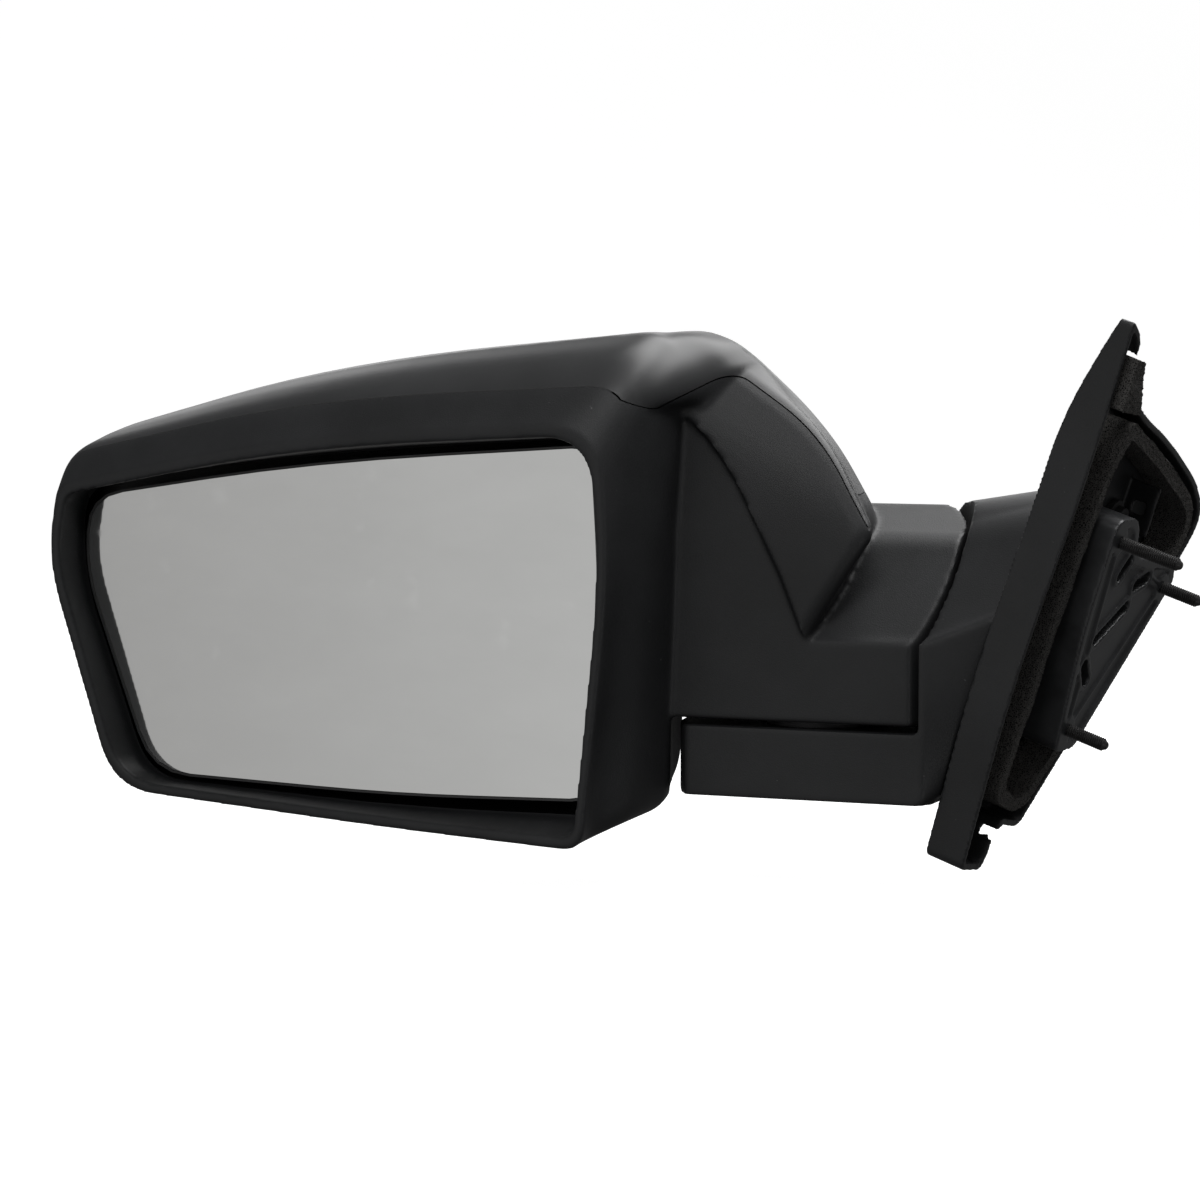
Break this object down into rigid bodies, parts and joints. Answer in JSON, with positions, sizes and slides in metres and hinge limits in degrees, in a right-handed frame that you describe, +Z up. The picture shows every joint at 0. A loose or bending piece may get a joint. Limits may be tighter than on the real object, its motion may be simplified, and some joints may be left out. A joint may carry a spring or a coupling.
{
  "type": "car door mirror",
  "caption": "Folding car door mirror with adjustable heated glass on a sail-panel base with three mounting studs.",
  "frame": {"origin": "centre of the bracket's pad face, where it bears on the door", "axes": "+Z up, +Y towards the vehicle's front, +X inboard; the glass faces -Y"},
  "size_m": [0.5251, 0.2082, 0.2469],
  "materials": {
    "cast_bracket": "black cast bracket, fine satin",
    "base_plastic": "fine grained black plastic",
    "panel_plastic": "fine grained black plastic",
    "foam": "open cell black foam",
    "stud_steel": "dark phosphated steel, threaded",
    "seal_rubber": "black rubber",
    "cable_jacket": "black cloth tape over wires",
    "plated_steel": "zinc plated steel",
    "sintered_steel": "sintered steel",
    "ball_steel": "polished steel",
    "bearing_acetal": "ivory acetal",
    "spring_steel": "oiled spring steel",
    "screw_steel": "zinc plated steel",
    "housing_plastic": "fine grained black plastic",
    "cap_plastic": "smooth satin black plastic",
    "frame_nylon": "glass filled black nylon",
    "actuator_plastic": "dark grey plastic",
    "motor_can": "plated steel can",
    "gear_acetal": "white acetal",
    "connector_plastic": "black nylon",
    "cross_metal": "cast zinc",
    "holder_plastic": "black plastic",
    "heater_film": "polyester film with printed heater",
    "terminal_brass": "tinned brass",
    "mirror": "silvered glass"
  },
  "bodies": {
    "base": {"mount_bracket": "cast_bracket", "base_cover": "base_plastic", "sail_panel": "panel_plastic", "panel_gasket": "foam", "corner_foam": "foam", "mount_studs": "stud_steel", "wire_grommet": "seal_rubber", "base_harness": "cable_jacket", "pivot_post": "plated_steel", "lower_detent_ring": "sintered_steel", "detent_balls": "ball_steel", "thrust_washer": "bearing_acetal", "pivot_spring": "spring_steel", "spring_retainer": "plated_steel", "retaining_ring": "spring_steel", "pivot_plug": "base_plastic", "base_screws": "screw_steel"},
    "head": {"head_housing": "housing_plastic", "top_cap": "cap_plastic", "inner_frame": "frame_nylon", "pivot_bushing": "bearing_acetal", "upper_detent_ring": "sintered_steel", "frame_screws": "screw_steel", "actuator_case_rear": "actuator_plastic", "actuator_case_front": "actuator_plastic", "actuator_screws": "screw_steel", "tilt_motor": "motor_can", "pan_motor": "motor_can", "actuator_connector": "connector_plastic", "head_harness": "cable_jacket", "tilt_worm": "gear_acetal", "pan_worm": "gear_acetal"},
    "cross": {"universal_cross": "cross_metal"},
    "glass": {"glass_holder": "holder_plastic", "heater_pad": "heater_film", "heater_terminals": "terminal_brass", "mirror_glass": "mirror"},
    "tilt_jack": {"tilt_jack_screw": "gear_acetal"},
    "pan_jack": {"pan_jack_screw": "gear_acetal"},
    "tilt_nut": {"tilt_gear": "gear_acetal"},
    "pan_nut": {"pan_gear": "gear_acetal"}
  },
  "joints": [
    {"name": "fold", "type": "hinge", "parent": "base", "child": "head", "pos_m": [-0.12624, -0.03578, -0.03706], "axis": [0, 0, 1], "range_deg": [-60, 68]},
    {"name": "glass_tilt", "type": "hinge", "parent": "head", "child": "cross", "pos_m": [-0.34424, -0.08579, 0.00294], "axis": [1, 0, 0], "range_deg": [-7, 7]},
    {"name": "glass_pan", "type": "hinge", "parent": "cross", "child": "glass", "pos_m": [-0.34424, -0.08579, 0.00294], "axis": [0, 0, 1], "range_deg": [-7, 7]},
    {"name": "tilt_jack_travel", "type": "slide", "parent": "head", "child": "tilt_jack", "axis": [0, 1, 0], "range_m": [-0.0038, 0.0038]},
    {"name": "pan_jack_travel", "type": "slide", "parent": "head", "child": "pan_jack", "axis": [0, 1, 0], "range_m": [-0.0038, 0.0038]},
    {"name": "tilt_gear_turn", "type": "hinge", "parent": "head", "child": "tilt_nut", "pos_m": [-0.34424, -0.06578, 0.03294], "axis": [0, 1, 0], "range_deg": [-225, 225]},
    {"name": "pan_gear_turn", "type": "hinge", "parent": "head", "child": "pan_nut", "pos_m": [-0.31424, -0.06578, 0.00294], "axis": [0, 1, 0], "range_deg": [-225, 225]}
  ],
  "couplings": [
    {"joint": "tilt_jack_travel", "follows": "glass_tilt", "m_per_rad": -0.03},
    {"joint": "pan_jack_travel", "follows": "glass_pan", "m_per_rad": 0.03},
    {"joint": "tilt_gear_turn", "follows": "glass_tilt", "ratio": -31.416},
    {"joint": "pan_gear_turn", "follows": "glass_pan", "ratio": 31.416}
  ]
}
